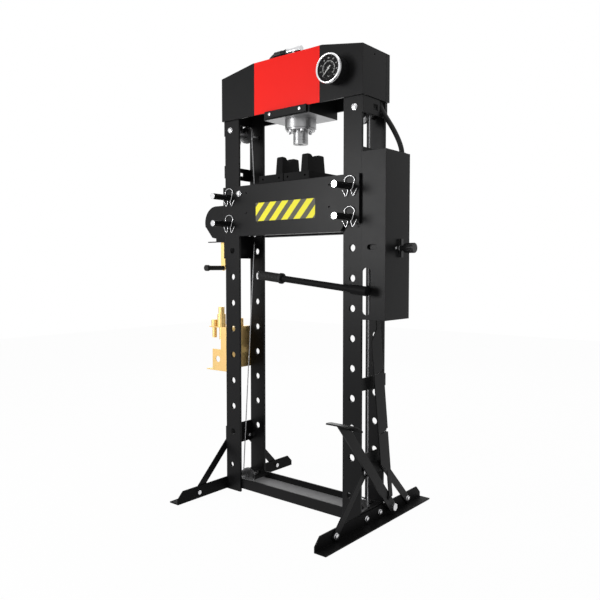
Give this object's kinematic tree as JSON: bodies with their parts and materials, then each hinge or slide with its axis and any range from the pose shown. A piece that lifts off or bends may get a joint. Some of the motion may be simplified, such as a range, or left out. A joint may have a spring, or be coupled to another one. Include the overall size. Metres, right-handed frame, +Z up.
{
  "type": "hydraulic workshop press",
  "caption": "Floor-standing workshop press: drilled flat-bar frame, pinned bed with V-blocks, hydraulic ram under the head, side pump with hand lever and foot pedal, rope winch.",
  "frame": {"origin": "on the floor, at the middle of the floor anchor holes of both feet", "axes": "+X to the right along the head, +Y to the back, +Z up"},
  "size_m": [1.023, 0.705, 1.814],
  "materials": {
    "black_paint": "satin black paint",
    "red_paint": "semi-gloss red and black paint",
    "bare_steel": "bright zinc-plated or turned steel",
    "yellow_zinc": "yellow zinc plating",
    "wire_rope": "dull wire rope",
    "hose_rubber": "matt black rubber",
    "grip_rubber": "matt black rubber",
    "knob_plastic": "black plastic",
    "bezel_steel": "bright steel",
    "dial_face": "black with white marks",
    "needle_white": "white",
    "gauge_glass": "clear",
    "case_plastic": "satin black"
  },
  "bodies": {
    "frame": {"front_left_post": "black_paint", "front_right_post": "black_paint", "rear_left_post": "black_paint", "rear_right_post": "black_paint", "left_foot": "black_paint", "right_foot": "black_paint", "left_braces": "black_paint", "right_braces": "black_paint", "base_beam": "black_paint", "neck_plates": "black_paint", "frame_plates": "black_paint", "low_plates": "black_paint", "frame_bolts": "bare_steel", "head_front": "red_paint", "head_rear": "black_paint", "carriage": "black_paint", "carriage_clamp": "black_paint", "cylinder_flange": "bare_steel", "cylinder_tube": "black_paint", "gauge_case": "case_plastic", "gauge_bezel": "bezel_steel", "gauge_dial": "dial_face", "gauge_glass": "gauge_glass", "pressure_hose": "hose_rubber", "hose_coupler": "bare_steel", "bed_front": "black_paint", "bed_rear": "black_paint", "bed_ties": "black_paint", "bed_bolt": "bare_steel", "bed_pins": "bare_steel", "pin_clips": "bare_steel", "left_block": "black_paint", "right_block": "black_paint", "pump_housing": "black_paint", "oil_tank": "black_paint", "pump_block": "bare_steel", "pedal_pivot_bolt": "bare_steel", "winch_frame": "black_paint", "winch_drum": "black_paint", "lift_rope": "wire_rope", "level_rope": "wire_rope", "rope_sheaves": "bare_steel", "sheave_axles": "bare_steel", "adapter_rack": "yellow_zinc", "tall_adapter": "yellow_zinc", "short_adapter": "yellow_zinc", "small_adapter": "yellow_zinc"},
    "ram": {"ram": "bare_steel"},
    "pump_handle": {"handle_socket": "black_paint", "handle_tube": "black_paint", "handle_grip": "grip_rubber"},
    "pump_plunger": {"pump_plunger": "bare_steel"},
    "pedal": {"pedal": "black_paint"},
    "pull_rod": {"pull_rod": "black_paint"},
    "release_knob": {"release_knob": "knob_plastic"},
    "winch_lever": {"winch_lever": "yellow_zinc"},
    "winch_grip": {"winch_grip": "grip_rubber"},
    "gauge_needle": {"gauge_needle": "needle_white"}
  },
  "joints": [
    {"name": "ram_slide", "type": "slide", "parent": "frame", "child": "ram", "axis": [0, 0, -1], "range_m": [0, 0.035], "stiffness_N_per_m": 4000, "springref_m": -0.06},
    {"name": "handle_hinge", "type": "hinge", "parent": "frame", "child": "pump_handle", "pos_m": [0.375, -0.05, 0.871], "axis": [0, 1, 0], "range_deg": [0, 32]},
    {"name": "plunger_slide", "type": "slide", "parent": "frame", "child": "pump_plunger", "axis": [0, 0, -1], "range_m": [0, 0.018]},
    {"name": "pedal_hinge", "type": "hinge", "parent": "frame", "child": "pedal", "pos_m": [0.369, 0.106, 0.034], "axis": [1, 0, 0], "range_deg": [0, 16], "stiffness_Nm_per_rad": 10, "springref_deg": -45.84},
    {"name": "rod_hinge", "type": "hinge", "parent": "pedal", "child": "pull_rod", "pos_m": [0.3745, 0.079, 0.078], "axis": [1, 0, 0], "range_deg": [-18, 0]},
    {"name": "release_hinge", "type": "hinge", "parent": "frame", "child": "release_knob", "pos_m": [0.47, 0.014, 1.022], "axis": [1, 0, 0], "range_deg": [0, 270]},
    {"name": "winch_hinge", "type": "hinge", "parent": "frame", "child": "winch_lever", "pos_m": [-0.408, -0.035, 1.15], "axis": [0, 1, 0], "range_deg": [-10, 110]},
    {"name": "winch_grip_spin", "type": "hinge", "parent": "winch_lever", "child": "winch_grip", "pos_m": [-0.408, -0.088, 0.951], "axis": [0, 1, 0], "continuous": true},
    {"name": "needle_hinge", "type": "hinge", "parent": "frame", "child": "gauge_needle", "pos_m": [0.243, -0.1415, 1.662], "axis": [0, 1, 0], "range_deg": [0, 270], "stiffness_Nm_per_rad": 0.002, "springref_deg": -22.92}
  ],
  "couplings": [
    {"joint": "plunger_slide", "follows": "handle_hinge", "m_per_rad": 0.03},
    {"joint": "rod_hinge", "follows": "pedal_hinge", "ratio": -1}
  ]
}
